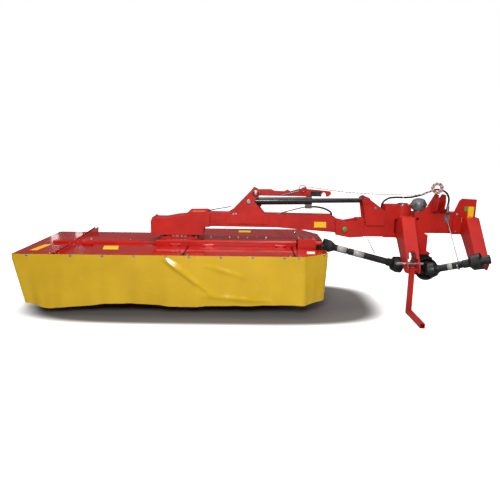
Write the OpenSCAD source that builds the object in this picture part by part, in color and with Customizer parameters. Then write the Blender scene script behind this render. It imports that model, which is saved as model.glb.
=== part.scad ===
// Four drum rear mower on a three-point headstock, built in its parked stance.
// The deck hangs at its middle under a lifting arm, and the arm folds up over the headstock.
// All lengths are in millimetres, +Z is up, and the tractor stands on the -Y side.

/* [Deck] */
// Width over the deck covers
deck_width = 3000; // [2800:10:3300]
// Front edge ahead of the arm plane
deck_front = 650; // [600:5:720]
// Rear edge behind the arm plane
deck_rear = 540; // [480:5:620]
// Height of the front covers above the ground
panel_z = 605; // [590:1:620]
// Height of the rear cover above the front covers
cover_step = 58; // [50:1:64]
// Distance from the arm plane to the step
step_y = 205; // [190:1:230]
// Sheet thickness of the covers
sheet = 5; // [4:0.5:7]
// Depth of the folded rim
rim_drop = 42; // [30:1:60]
// Front corner cut across the width
corner_cut = 240; // [180:5:280]
// Length of the hanging curtain
curtain_drop = 495; // [430:5:520]
// Curtain thickness
curtain_thick = 6; // [5:0.5:8]
// Slit between neighbouring covers
slit = 12; // [10:1:16]
// Width of the fixed cover at the left end
end_left = 390; // [340:5:420]
// Width of the fixed cover at the right end
end_right = 330; // [310:5:360]
// Seam between the two hinged covers, from the deck middle
seam_mid = 110; // [60:5:160]
// How far the left hem of the curtain is drawn in
hem_tuck = 90; // [0:5:120]

/* [Drums] */
// Spacing of the drum axes
drum_pitch = 700; // [690:1:730]
// Drum barrel radius
drum_radius = 150; // [135:1:160]
// Cutting disc radius
disc_radius = 290; // [275:1:296]
// Radius swept by the blade tips
blade_reach = 384; // [360:1:392]
// Blade thickness
blade_thick = 5; // [4:0.5:6]
// Blade width
blade_width = 48; // [40:1:55]
// Skid saucer radius
skid_radius = 232; // [210:1:240]
// Height of the cutting disc rim
disc_z = 62; // [60:1:70]
// Wall of drums, discs and saucers
drum_wall = 6; // [5:0.5:8]

/* [Arm] */
// Lift hinge from the deck middle
hinge_x = 1730; // [1720:1:1745]
// Lift hinge height
hinge_z = 781; // [775:1:790]
// Width of the arm box
arm_width = 150; // [130:1:150]
// Radius of the lift pin
lift_pin_r = 25; // [20:0.5:28]
// Height of the deck float pin
float_z = 800; // [790:1:810]
// Radius of the float pin
float_pin_r = 30; // [24:0.5:34]
// Half width of the arm head
head_half = 130; // [125:1:140]
// Lift cylinder barrel radius
barrel_r = 40; // [34:0.5:42]
// Lift cylinder rod radius
rod_r = 25; // [20:0.5:28]
// Lock hook plate thickness
hook_thick = 16; // [12:1:20]

/* [Headstock] */
// Breakaway pivot from the deck middle
pivot_x = 2350; // [2345:1:2360]
// Radius of the breakaway pin
pivot_pin_r = 36; // [30:0.5:40]
// Span of the lower hitch points, category 2N
hitch_span = 683; // [660:1:700]
// Lower hitch height
hitch_z = 500; // [490:1:510]
// Lower hitch ahead of the arm plane
hitch_y = 440; // [425:1:445]
// Lower hitch pin radius, category 2
hitch_pin_r = 14; // [11:0.5:15]
// Mast height over the lower hitch points
mast_rise = 610; // [600:1:630]
// Top link pin bore radius, category 2
top_bore_r = 12.85; // [10:0.05:14]
// Hitch plate thickness
hitch_plate = 15; // [12:1:18]
// Guard tube radius of the drive shafts
guard_r = 34; // [30:0.5:38]
// Side of the square parking leg
leg_side = 45; // [38:1:50]

/* [Hidden] */
$fn = 48;

run = 0.05;
gap = 0.3;
clear = 6;
red = [0.72, 0.10, 0.08];
dark = [0.10, 0.10, 0.11];
steel = [0.62, 0.62, 0.64];
yellow = [0.95, 0.78, 0.12];

half = deck_width / 2;
cover_z = panel_z + cover_step;
end_notch = [-330, -110];
foot_front = 900;
hitch_x = pivot_x - 15;
hitch_far = hitch_x + hitch_span;
hitch_mid = hitch_x + hitch_span / 2;
frame_x = (hitch_far + 85 - half - curtain_thick) / 2;
frame_y = (deck_rear + curtain_thick - foot_front) / 2;

// Deck internals
case_half = 1.5 * drum_pitch + 240;
case_w = 118;
case_z0 = 546;
case_z1 = cover_z - sheet;
rise_x0 = -230;
ridge_z = panel_z + 24;
ridge_half = case_w + 12;
rear_cut = [165, 290];
drum_top = case_z0 - 14;
seam_left = -half + end_left;
seam_right = half - end_right;
hub_r = 64;
skid_hub_r = 62;
notch_x = case_half - 70;

// Arm and lift linkage
arm_half = arm_width / 2;
arm_x0 = 320;
arm_bottom = 790;
arm_top = 934;
fork_in = arm_half + clear;
fork_t = 18;
cyl_a = [724, 1055];
cyl_b = [1943, 1077];
cyl_y = -30;
hook_pivot = [795, 1140];
hook_y = 38;
catch_pin = [1967, 1002];

// Headstock levels
sleeve_z0 = 746;
sleeve_z1 = 881;
sleeve_r = 72;
fork_z0 = 692;
fork_z1 = 1035;
beam_x0 = pivot_x + 112;
beam_x1 = hitch_far + 65;
beam_half = 70;
beam_z0 = 742;
beam_z1 = 960;
leg_in = 50;
stand_y = -500;
stand_z = 452;

// Driveline
shaft_y = -220;
joint_p = [pivot_x - 50, 430];
joint_q = [1450, 650];
shaft_len = norm(joint_q - joint_p);
shaft_tilt = atan2(joint_q[1] - joint_p[1], joint_p[0] - joint_q[0]);
bell_back = 44;
bell_r = 66;
// The bevel box's stub ends short of the shaft's bell, which it passes when the deck floats
stub_end = joint_q[0] + bell_back * cos(shaft_tilt) - bell_r * sin(shaft_tilt) - 3;
box_x0 = pivot_x + 90;
input_x = box_x0 + 80;
pto_a = [input_x, -430, 430];
pto_b = [2930, -690, 600];

module at() { translate([-frame_x, -frame_y, 0]) children(); }
module flat_xz(y0, t) { translate([0, y0 + t, 0]) rotate([90, 0, 0]) linear_extrude(t) children(); }
module flat_yz(x0, t) { translate([x0, 0, 0]) rotate([90, 0, 90]) linear_extrude(t) children(); }
module rod_y(p, r, y0, y1) { translate([p[0], y1, p[1]]) rotate([90, 0, 0]) cylinder(h = y1 - y0, r = r); }
module rod_x(p, r, x0, x1) { translate([x0, p[0], p[1]]) rotate([0, 90, 0]) cylinder(h = x1 - x0, r = r); }
module block(a, b) { translate(a) cube(b - a); }
module aim(a, b) {
  d = b - a;
  translate(a) rotate([0, acos(d[2] / norm(d)), atan2(d[1], d[0])]) children();
}
module link(a, b, ra, rb) {
  d = b - a;
  translate(a) circle(ra);
  translate(b) circle(rb);
  translate(a) rotate(atan2(d[1], d[0])) polygon([[0, -ra], [norm(d), -rb], [norm(d), rb], [0, ra]]);
}

// Swept tubes for hoses and ropes, along points chosen by hand
function unit(v) = v / norm(v);
function spline(p, i, t) =
  let (a = p[max(i - 1, 0)], b = p[i], c = p[i + 1], d = p[min(i + 2, len(p) - 1)])
  0.5 * (2 * b + (c - a) * t + (2 * a - 5 * b + 4 * c - d) * t * t + (3 * b - a - 3 * c + d) * t * t * t);
function route(p, n) = concat([for (i = [0 : len(p) - 2]) for (k = [0 : n - 1]) spline(p, i, k / n)], [p[len(p) - 1]]);
function along(p, i) = unit(p[min(i + 1, len(p) - 1)] - p[max(i - 1, 0)]);
module tube(p, r, n, ref) {
  m = len(p);
  pts = [for (i = [0 : m - 1]) let (t = along(p, i), u = unit(cross(t, ref)), v = cross(u, t))
    for (k = [0 : n - 1]) p[i] + r * (cos(360 * k / n) * u + sin(360 * k / n) * v)];
  sides = [for (i = [0 : m - 2]) for (k = [0 : n - 1])
    [i * n + k, i * n + (k + 1) % n, (i + 1) * n + (k + 1) % n, (i + 1) * n + k]];
  caps = [[for (k = [n - 1 : -1 : 0]) k], [for (k = [0 : n - 1]) (m - 1) * n + k]];
  polyhedron(pts, concat(sides, caps), convexity = 8);
}
rope_r = 5;
hose_r = 10;
rope_points = [[1316, 46, 1206], [1360, 37, 1203], [1430, 26, 1195], [1700, 24, 1160], [1900, 20, 1146],
  [2150, 10, 1136], [2347.5, 0, 1136]];
tail_points = [[2352.5, 0, 1136], [2440, -45, 1140], [2530, -110, 1160], [2582, -155, 1192]];
feed_points = [[2128, 6, 887.3], [2128, 6, 960], [2138, 6, 1046], [2195, 5, 1096], [2270, 3, 1108], [2345.5, 0, 1108]];
hose_points = [[2354.5, 0, 1108], [2440, 10, 1112], [2545, 20, 1136], [2600, -20, 1168], [2665, -100, 1205],
  [2740, -132, 1180], [2775, -135, 1120], [2775, -135, 1060.4]];

// Headstock: cross beam with the breakaway sleeve and the gearbox hanger
module hitch_beam() at() color(red) difference() {
  union() {
    translate([pivot_x, 0, sleeve_z0]) cylinder(h = sleeve_z1 - sleeve_z0, r = sleeve_r);
    block([pivot_x, -55, sleeve_z0], [beam_x0 + 5, 55, sleeve_z1]);
    block([beam_x0, -beam_half, beam_z0], [beam_x1, beam_half, beam_z1]);
    block([box_x0 + 20, shaft_y - 60, 560], [box_x0 + 140, shaft_y + 60, 575]);
    block([box_x0 + 20, shaft_y + 45, 575], [box_x0 + 140, shaft_y + 60, beam_z0]);
    block([box_x0 + 20, shaft_y + 60, 715], [box_x0 + 140, beam_half, beam_z0]);
  }
  translate([pivot_x, 0, sleeve_z0 - 1]) cylinder(h = sleeve_z1 - sleeve_z0 + 2, r = pivot_pin_r + run);
  rod_y([beam_x0 + 34, 890], 16, -beam_half - 1, -beam_half + 60);
}

leg_side_shape = [[-55, sleeve_z0 + 6], [-55, sleeve_z1 - 6], [-122, sleeve_z1 - 6], [-140, 932], [-250, 932],
  [-hitch_y - 60, 560], [-hitch_y - 110, 480], [-hitch_y - 110, 428], [-hitch_y - 40, 424], [-hitch_y + 60, 470], [-135, 690]];
shank_r = hitch_pin_r + 4;
module leg_holes(x0, x1) {
  rod_x([-hitch_y, hitch_z], shank_r + gap, x0 - 1, x1 + 1);
}
// Left leg: a boxed clevis with an inclined front plate and an arched opening
module left_leg() at() color(red) difference() {
  union() {
    intersection() {
      flat_yz(hitch_x - leg_in - hitch_plate, hitch_plate) polygon(leg_side_shape);
      block([0, -900, 0], [5000, -90, 2000]);
    }
    flat_yz(hitch_x + leg_in, hitch_plate) polygon(leg_side_shape);
    flat_yz(hitch_x - leg_in, 2 * leg_in)
      polygon([[-140, 932], [-250, 932], [-hitch_y - 60, 560], [-hitch_y - 48, 556], [-243, 920], [-140, 920]]);
    block([hitch_x - leg_in, -152, 705], [hitch_x + leg_in, -140, 920]);
  }
  leg_holes(hitch_x - leg_in - hitch_plate, hitch_x + leg_in + hitch_plate);
  translate([pivot_x, 0, sleeve_z0 - 1]) cylinder(h = sleeve_z1 - sleeve_z0 + 2, r = sleeve_r);
  translate([pivot_x, 0, fork_z0 - 20]) cylinder(h = sleeve_z0 - fork_z0 + 26, r = 90 + clear);
  translate([pivot_x, 0, sleeve_z1 - 6]) cylinder(h = 200, r = 90 + clear);
  rod_x([stand_y, stand_z], 12 + run, hitch_x - leg_in - hitch_plate - 1, hitch_x + leg_in + hitch_plate + 1);
  translate([hitch_x, 0, 0]) flat_xz(-hitch_y - 90, 80) union() {
    translate([0, 600]) circle(34);
    translate([-34, 500]) square([68, 100]);
  }
}
// Right leg: two hitch plates with a slanted web
module right_leg() at() color(red) difference() {
  union() {
    for (x = [hitch_far - leg_in - hitch_plate, hitch_far + leg_in])
      flat_yz(x, hitch_plate) polygon([[-beam_half - 12, 745], [-beam_half - 12, 925], [-190, 925],
        [-hitch_y - 45, 560], [-hitch_y - 60, 500], [-hitch_y - 40, 450], [-hitch_y + 40, 455], [-150, 690]]);
    flat_yz(hitch_far - leg_in, 2 * leg_in)
      polygon([[-190, 925], [-hitch_y - 45, 560], [-hitch_y - 33, 556], [-184, 912], [-110, 912], [-110, 925]]);
  }
  leg_holes(hitch_far - leg_in - hitch_plate, hitch_far + leg_in + hitch_plate);
}
// Lower hitch pins, free at their inner ends, with the linch pin holes
module hitch_pins() at() color(steel) {
  out = leg_in + hitch_plate;
  difference() {
    union() {
      rod_x([-hitch_y, hitch_z], hitch_pin_r - 2, hitch_x + out, hitch_x + out + 60);
      rod_x([-hitch_y, hitch_z], shank_r, hitch_x - out, hitch_x + out);
      rod_x([-hitch_y, hitch_z], hitch_pin_r, hitch_x - out - 78, hitch_x - out);
    }
    translate([hitch_x - out - 70, -hitch_y, hitch_z - 30]) cylinder(h = 60, r = 4);
  }
  difference() {
    union() {
      rod_x([-hitch_y, hitch_z], hitch_pin_r, hitch_far - out - 78, hitch_far - out);
      rod_x([-hitch_y, hitch_z], shank_r, hitch_far - out, hitch_far + out + 18);
      rod_x([-hitch_y, hitch_z], shank_r + 8, hitch_far + out, hitch_far + out + 20);
    }
    translate([hitch_far - out - 70, -hitch_y, hitch_z - 30]) cylinder(h = 60, r = 4);
  }
}
// Mast: two cheeks for the top link on a cross plate
top_link = [-175, hitch_z + mast_rise];
mast_gap = 30;
mast_t = 12;
module mast() at() color(red) difference() {
  union() {
    for (x = [hitch_mid - mast_gap - mast_t, hitch_mid + mast_gap])
      flat_yz(x, mast_t) polygon([[beam_half, beam_z1], [beam_half, top_link[1] - 100], [top_link[0] + 60, top_link[1] + 50],
        [top_link[0] - 30, top_link[1] + 50], [top_link[0] - 45, top_link[1] - 20], [top_link[0] - 20, top_link[1] - 110], [-beam_half, beam_z1]]);
    flat_xz(-beam_half + 12, mast_t) polygon([[hitch_mid - 150, beam_z1], [hitch_mid + 150, beam_z1],
      [hitch_mid + mast_gap + mast_t, top_link[1] - 50], [hitch_mid - mast_gap - mast_t, top_link[1] - 50]]);
  }
  rod_x(top_link, top_bore_r, hitch_mid - mast_gap - mast_t - 1, hitch_mid + mast_gap + mast_t + 1);
}
// Upright plate on the right of the beam
module side_plate() at() color(red) flat_xz(-beam_half - 12, 12)
  polygon([[hitch_far - 150, 735], [hitch_far + 55, 735], [hitch_far + 72, 830], [hitch_far + 72, 1105],
    [hitch_far - 80, 1112], [hitch_far - 105, 1090], [hitch_far - 150, 975]]);
// Bevel gearbox under the beam
module headstock_gearbox() at() color(dark) {
  block([box_x0, shaft_y - 80, 352], [box_x0 + 160, shaft_y + 80, 530]);
  block([box_x0 + 30, shaft_y - 60, 530], [box_x0 + 130, shaft_y + 60, 560]);
  rod_x([shaft_y, joint_p[1]], 62, box_x0 - 20, box_x0);
  rod_x([shaft_y, joint_p[1]], 22, joint_p[0] + 34 + gap, box_x0 - 20);
  rod_y([input_x, joint_p[1]], 66, shaft_y - 98, shaft_y - 80);
  rod_y([input_x, joint_p[1]], 18, shaft_y - 150, shaft_y - 98);
  for (x = [box_x0 + 25, box_x0 + 70, box_x0 + 115])
    block([x, shaft_y + 80, 372], [x + 14, shaft_y + 92, 510]);
}
// Fixed guard bell round the input stub
module input_bell() at() color(dark) translate([input_x, shaft_y - 98, joint_p[1]]) rotate([90, 0, 0])
  rotate_extrude() polygon([[40, 0], [74, 0], [88, 12], [88, 24], [102, 34], [102, 44], [114, 50], [114, 64], [109, 64], [109, 54],
    [97, 48], [97, 38], [83, 28], [83, 15], [70, 5], [40, 5]]);
// Universal joint between the input stub and the power take-off shaft
module pto_joint() at() color(steel) {
  difference() {
    rod_y([input_x, joint_p[1]], 32, -hitch_y + 62, shaft_y - 104);
    rod_y([input_x, joint_p[1]], 18 + run, -hitch_y + 60, shaft_y - 103);
  }
  rod_y([input_x, joint_p[1]], 30, pto_a[1] - 8, -hitch_y + 62);
  translate([pto_a[0], pto_a[1], pto_a[2] - 40]) cylinder(h = 80, r = 34);
  aim(pto_a, pto_b) cylinder(h = 64, r = 28);
}
pto_len = norm(pto_b - pto_a);
// Guard tube of the power take-off shaft with its tractor bell
module pto_guard() at() color(dark) aim(pto_a, pto_b) rotate_extrude()
  polygon([[guard_r - 8, 64], [60, 64], [68, 44], [72, 14], [77, 14], [74, 46], [66, 72], [guard_r + 8, 96],
    [guard_r, 112], [guard_r, pto_len - 190],
    [guard_r + 6, pto_len - 180], [guard_r + 6, pto_len - 130], [74, pto_len - 100], [80, pto_len - 20],
    [75, pto_len - 20], [69, pto_len - 96], [guard_r - 8, pto_len - 120]]);
// Tractor yoke with the sliding collar
module pto_yoke() at() color(steel) aim(pto_a, pto_b) {
  translate([0, 0, pto_len - 120]) cylinder(h = 70, r = guard_r - 8);
  translate([0, 0, pto_len - 55]) sphere(33);
  translate([0, 0, pto_len - 30]) difference() {
    union() {
      cylinder(h = 80, r = 36);
      translate([0, 0, 40]) cylinder(h = 46, r = 44);
    }
    translate([0, 0, 30]) cylinder(h = 60, r = 18);
  }
}
// Bent round bar that carries the parked shaft
hook_u = unit(pto_b - pto_a);
hook_c = pto_a + hook_u * (pto_len - 230);
hook_e1 = unit(cross(hook_u, [0, 0, 1]));
hook_e2 = cross(hook_e1, hook_u);
hook_wrap = guard_r + 7.8;
function hook_at(a) = hook_c + hook_wrap * (cos(a) * hook_e1 + sin(a) * hook_e2);
hook_top = [2800, -beam_half - 6, 900];
module shaft_hook() at() color(steel) {
  block([2775, -beam_half - 12, 860], [2825, -beam_half, 940]);
  aim(hook_top, hook_at(180)) cylinder(h = norm(hook_at(180) - hook_top), r = 6);
  translate(hook_at(180)) sphere(7);
  aim(pto_a, pto_b) translate([0, 0, pto_len - 230]) rotate([0, 0, -110])
    rotate_extrude(angle = 200) translate([hook_wrap, 0]) circle(6);
}
// Gas accumulator on the beam
acc = [pivot_x + 185, 44];
module accumulator() at() color(steel) translate([acc[0], acc[1], beam_z1]) rotate_extrude()
  polygon([[0, 0], [50, 0], [50, 12], [68, 20], [78, 50], [78, 64], [86, 64], [86, 84], [78, 84], [76, 98], [60, 124], [34, 136], [0, 140]]);
module hydraulic_hose() at() color(dark) tube(route(hose_points, 6), hose_r, 10, [0.2, 1, 0.1]);
module hose_coupler() at() color(steel) {
  translate([2775, -135, 975]) cylinder(h = 60, r = 16);
  translate([2775, -135, 1035]) cylinder(h = 25, r = hose_r + 3);
  block([2765, -125, 978], [2785, -beam_half + 12, 1000]);
}
coil_c = [hitch_mid - mast_gap - mast_t / 2, top_link[0] + 20, top_link[1] + 50];
module rope_coil() at() color(red) translate([coil_c[0], coil_c[1], coil_c[2] + 62]) rotate([90, 0, 0]) rotate_extrude()
  polygon([[34, -20], [58, -20], [62, -8], [62, 8], [58, 20], [34, 20]]);
module rope_tail() at() color(red) tube(route(tail_points, 4), rope_r, 8, [0.1, 1, 0.1]);

// Parking stand: a square leg on a cross pin with a foot
module parking_stand() at() color(red) {
  block([hitch_x - leg_side / 2, stand_y - leg_side / 2 + 8, 8], [hitch_x + leg_side / 2, stand_y + leg_side / 2 + 8, stand_z + 30]);
  rod_x([stand_y, stand_z], 12, hitch_x - leg_in - hitch_plate - 8, hitch_x + leg_in + hitch_plate + 8);
  difference() {
    block([hitch_x - leg_side / 2, -foot_front, 0], [hitch_x + leg_side / 2, stand_y + leg_side / 2 + 8, 8 + leg_side - 8]);
    block([hitch_x - leg_side / 2 + 5, -foot_front - 1, 5], [hitch_x + leg_side / 2 - 5, -foot_front + 250, leg_side - 5]);
  }
}

// Carrier: bent beam between the lift hinge and the breakaway pivot
module carrier_beam() at() color(red) difference() {
  union() {
    block([hinge_x + 132, -arm_half, fork_z0 + 8], [pivot_x - 95, arm_half, sleeve_z1 + 6]);
    for (y = [-fork_in - fork_t, fork_in]) flat_xz(y, fork_t) union() {
      polygon([[hinge_x - 92, hinge_z - 62], [hinge_x + 60, fork_z0 - 2], [hinge_x + 200, fork_z0 + 8],
        [hinge_x + 200, sleeve_z1 + 6], [hinge_x + 120, sleeve_z1 - 10], [hinge_x + 20, hinge_z + 72],
        [hinge_x - 92, hinge_z + 92]]);
    }
    for (y = [-fork_in - 1, arm_half - 1]) block([hinge_x + 132, y, fork_z0 + 20], [hinge_x + 195, y + clear + 2, sleeve_z1 - 20]);
    block([pivot_x - 200, -arm_half, sleeve_z1 + 6], [pivot_x, arm_half, fork_z1]);
    translate([pivot_x, 0, sleeve_z1 + 6]) cylinder(h = fork_z1 - sleeve_z1 - 6, r = 90);
    block([pivot_x - 200, -arm_half, fork_z0], [pivot_x, arm_half, sleeve_z0 - 6]);
    translate([pivot_x, 0, fork_z0]) cylinder(h = sleeve_z0 - 6 - fork_z0, r = 90);
  }
  translate([pivot_x, 0, 0]) cylinder(h = 2000, r = pivot_pin_r + run);
  rod_y([hinge_x, hinge_z], lift_pin_r + gap, -500, 500);
}
module pivot_pin() at() color(steel) translate([pivot_x, 0, 0]) {
  translate([0, 0, fork_z0 - 8]) cylinder(h = fork_z1 - fork_z0 + 8, r = pivot_pin_r);
  translate([0, 0, fork_z1]) cylinder(h = 14, r = pivot_pin_r + 16);
  translate([0, 0, fork_z0 - 20]) cylinder(h = 20, r = pivot_pin_r + 10);
}
// Cylinder lug: two inclined plates with pin bosses and the catch pin
lug_in = 84;
lug_t = 16;
module cylinder_lug() at() color(red) {
  for (y = [-lug_in - lug_t, lug_in]) flat_xz(y, lug_t) union() {
    translate(cyl_b) circle(42);
    polygon([[cyl_b[0] - 30, cyl_b[1] - 30], [cyl_b[0] - 10, cyl_b[1] + 40], [cyl_b[0] + 40, cyl_b[1] + 14],
      [pivot_x - 205, fork_z1 - 60], [pivot_x - 205, sleeve_z1 - 60], [cyl_b[0] + 10, sleeve_z1 - 60]]);
  }
  for (s = [-1, 1]) rod_y(cyl_b, 30, s > 0 ? lug_in + lug_t : -lug_in - lug_t - 12, s > 0 ? lug_in + lug_t + 12 : -lug_in - lug_t);
  rod_y(catch_pin, 12, hook_y - 12, lug_in + 4);
  for (y = [-lug_in, arm_half]) block([cyl_b[0] + 60, y, sleeve_z1 - 50], [pivot_x - 215, y + lug_in - arm_half, sleeve_z1 - 10]);
}
module rope_run() at() color(red) tube(route(rope_points, 6), rope_r, 8, [0.1, 1, 0.1]);
module feed_hose() at() color(dark) tube(route(feed_points, 5), hose_r, 10, [0.1, 1, 0.1]);

// Arm: tapered box with a knuckle at the lift hinge
module arm_beam() at() color(red) difference() {
  union() {
    rod_y([hinge_x, hinge_z], 74, -arm_half, arm_half);
    flat_xz(-arm_half, arm_width) polygon([[arm_x0, arm_bottom], [arm_x0, arm_top], [hinge_x - 130, arm_top - 14], [hinge_x - 30, hinge_z + 68],
      [hinge_x - 30, hinge_z - 68], [hinge_x - 110, hinge_z - 40], [hinge_x - 700, arm_bottom - 6]]);
  }
  rod_y([hinge_x, hinge_z], lift_pin_r + run, -500, 500);
}
// Arm head: an inverted box round the float bracket
module arm_head() at() color(red) difference() {
  flat_xz(-head_half, 2 * head_half)
    polygon([[-292, 704], [-292, 846], [-276, 884], [-262, 884], [-258, 872], [-150, 872], [-40, 894], [60, 906], [104, 948],
      [286, 952], [arm_x0, arm_top], [arm_x0, arm_bottom], [262, arm_bottom], [250, 704]]);
  flat_xz(-head_half + 16, 2 * head_half - 32) polygon([[-276, 600], [-276, 850], [60, 876], [240, 900], [240, 600]]);
  rod_y([0, float_z], float_pin_r + gap, -head_half + 4.7, head_half - 4.7);
}
module float_pin() at() color(steel) rod_y([0, float_z], float_pin_r, -head_half + 5, head_half - 5);
// Side plates on the arm for the cylinder and the lock hook
bracket_t = 14;
module arm_bracket() at() color(red) {
  for (y = [-arm_half - bracket_t, arm_half]) difference() {
    flat_xz(y, bracket_t) union() {
      translate(hook_pivot) circle(46);
      translate(cyl_a) circle(52);
      polygon([[500, 820], [500, 925], [560, 960], [hook_pivot[0] - 44, hook_pivot[1] + 20], [hook_pivot[0] - 16, hook_pivot[1] + 58],
        [hook_pivot[0] + 20, hook_pivot[1] + 42], [hook_pivot[0] + 46, hook_pivot[1]], [cyl_a[0] + 60, cyl_a[1]], [900, 925], [940, 880], [940, 820]]);
    }
    rod_y(hook_pivot, 20 + run, -500, 500);
  }
  rod_y(cyl_a, 20, -arm_half - bracket_t - 10, arm_half + bracket_t + 10);
}
module lift_pin() at() color(steel) {
  for (k = [-1, 1]) rod_y([hinge_x, hinge_z], lift_pin_r + 8, k * (fork_in + fork_t + 5) - 5 + gap, k * (fork_in + fork_t + 5) + 5 - gap);
  rod_y([hinge_x, hinge_z], lift_pin_r, -fork_in - fork_t - 8, fork_in + fork_t + 8);
}
// Lock hook: lever plate with a notch for the catch pin and a rope eye
notch = [1519, 1131];
module lock_hook() at() color(red) difference() {
  union() {
    flat_xz(hook_y, hook_thick) polygon([[hook_pivot[0], hook_pivot[1] + 34], [960, 1176], [1000, 1160], [1100, 1156], [1135, 1176], [1165, 1156],
      [1220, 1172], [1280, 1186], [1300, 1200], [1330, 1200], [1340, 1182], [notch[0] - 60, 1172], [notch[0] + 70, 1160],
      [notch[0] + 78, 1130], [notch[0] + 50, 1104], [notch[0] + 24, 1104], [notch[0] + 24, 1128], [notch[0], 1150],
      [notch[0] - 24, 1128], [notch[0] - 24, 1104], [1200, 1104], [hook_pivot[0], hook_pivot[1] - 34]]);
    rod_y(hook_pivot, 34, -arm_half + 0.5, arm_half - 0.5);
    rod_y(hook_pivot, 20, -arm_half - bracket_t - 8, arm_half + bracket_t + 8);
  }
}

// Lift cylinder
cyl_len = norm(cyl_b - cyl_a);
cyl_tilt = atan2(cyl_b[1] - cyl_a[1], cyl_b[0] - cyl_a[0]);
barrel_len = 660;
rod_start = 560;
module along_cyl() translate([cyl_a[0], cyl_y, cyl_a[1]]) rotate([0, 90 - cyl_tilt, 0]) children();
module cylinder_barrel() at() color(dark) difference() {
  union() {
    along_cyl() translate([0, 0, 24]) cylinder(h = barrel_len - 24, r = barrel_r);
    along_cyl() translate([0, 0, barrel_len - 60]) cylinder(h = 60, r = barrel_r + 5);
    rod_y(cyl_a, 42, cyl_y - 26, cyl_y + 26);
    along_cyl() translate([-barrel_r - 6, -20, barrel_len - 52]) cube([30, 40, 44]);
    along_cyl() translate([barrel_r - 6, -18, 90]) cube([22, 36, 44]);
  }
  rod_y(cyl_a, 20 + run, -500, 500);
  along_cyl() translate([0, 0, 46]) cylinder(h = barrel_len, r = rod_r + gap);
}
module cylinder_rod() at() color(dark) {
  along_cyl() translate([0, 0, rod_start]) cylinder(h = cyl_len - rod_start - 30, r = rod_r);
  rod_y(cyl_b, 40, cyl_y - 26, cyl_y + 26);
}

// Deck: gear case, float bracket and covers
drum_x = [for (i = [-1.5 : 1 : 1.5]) i * drum_pitch];
module case_shape(z1) polygon([[-case_w, case_z0], [-case_w, z1 - 24], [-case_w + 24, z1], [case_w - 24, z1],
  [case_w, z1 - 24], [case_w, case_z0]]);
module gear_case() at() color(red) {
  flat_yz(-case_half, case_half + rise_x0 + 20) case_shape(ridge_z - sheet);
  flat_yz(rise_x0 + 10, case_half - rise_x0 - 10) case_shape(case_z1);
  for (x = drum_x) translate([x, 0, drum_top - 60]) cylinder(h = 60 + case_z0 - drum_top, r = hub_r - run);
  for (x = drum_x) translate([x, 0, case_z0 - 8]) cylinder(h = 8, r = case_w - 4);
}
module deck_bracket() at() color(red) {
  difference() {
    union() {
      for (y = [-92, 72]) flat_xz(y, 20) union() {
        translate([0, float_z]) circle(62);
        polygon([[-150, cover_z], [150, cover_z], [58, float_z + 20], [-58, float_z + 20]]);
      }
      block([-190, -92, cover_z], [190, 92, cover_z + 14]);
    }
    rod_y([0, float_z], float_pin_r + run, -500, 500);
  }
}
module deck_outline(r) {
  polygon([[-half + r, -deck_front + r], [half - corner_cut + r, -deck_front + r],
    [half - r, -deck_front + corner_cut * 0.7], [half - r, deck_rear - rear_cut[1]],
    [half - rear_cut[0], deck_rear - r], [-half + r, deck_rear - r]]);
}
module shell(z1, drop) {
  difference() {
    translate([0, 0, z1 - drop]) linear_extrude(drop) deck_outline(0);
    translate([0, 0, z1 - drop - 1]) linear_extrude(drop + 1 - sheet) deck_outline(sheet);
  }
}
// Rear cover: flat with a low ridge at the left, raised with a rolled front step at the right
module ridge(r, z1) polygon([[-r, panel_z - sheet], [-r, z1 - 16], [-r + 16, z1], [r - 16, z1], [r, z1 - 16],
  [r, panel_z - sheet]]);
module top_cover() at() color(red) difference() {
  union() {
    intersection() {
      shell(cover_z, cover_step + rim_drop);
      block([rise_x0, -step_y + 20, 0], [half, 1000, 2000]);
    }
    flat_yz(rise_x0, half - 2 * sheet - rise_x0)
      polygon([[-step_y, panel_z], [-step_y, cover_z - 14], [-step_y + 14, cover_z], [-step_y + 30, cover_z],
        [-step_y + 30, cover_z - sheet], [-step_y + 16, cover_z - sheet], [-step_y + sheet, cover_z - 16],
        [-step_y + sheet, panel_z]]);
    block([rise_x0, -step_y + sheet, panel_z - sheet], [rise_x0 + sheet, deck_rear - sheet, cover_z - 18]);
    block([rise_x0, -step_y + 18, cover_z - 19], [rise_x0 + sheet, deck_rear - sheet, cover_z - 1]);
    intersection() {
      shell(panel_z, rim_drop);
      block([-half, -step_y + sheet, 0], [rise_x0 + sheet, 1000, 2000]);
    }
    flat_yz(-case_half - 30, case_half + 30 + rise_x0 + 1) ridge(ridge_half, ridge_z);
  }
  flat_yz(-case_half - 26, case_half + 26 + rise_x0 + sheet + 1) ridge(ridge_half - sheet, ridge_z - sheet);
  block([-case_half - 26, -ridge_half + sheet, 500], [rise_x0 + sheet + 1, ridge_half - sheet, panel_z - sheet + 1]);
  block([rise_x0 - 1, -case_w - 1, 500], [rise_x0 + sheet + 1, case_w + 1, cover_z - sheet]);
  block([notch_x, end_notch[0], 0], [half + 10, end_notch[1], 2000]);
}
module front_cover(x0, x1, y1) intersection() {
  shell(panel_z, rim_drop);
  block([x0, -1000, 0], [x1, y1, 2000]);
}
module end_covers() at() color(red) {
  front_cover(-half, seam_left - slit / 2, -step_y + sheet);
  difference() {
    front_cover(seam_right + slit / 2, half, -step_y + sheet);
    block([notch_x, end_notch[0], 0], [half + 10, end_notch[1], 2000]);
  }
}
bar_x = [seam_left + 14, seam_left + 52];
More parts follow.
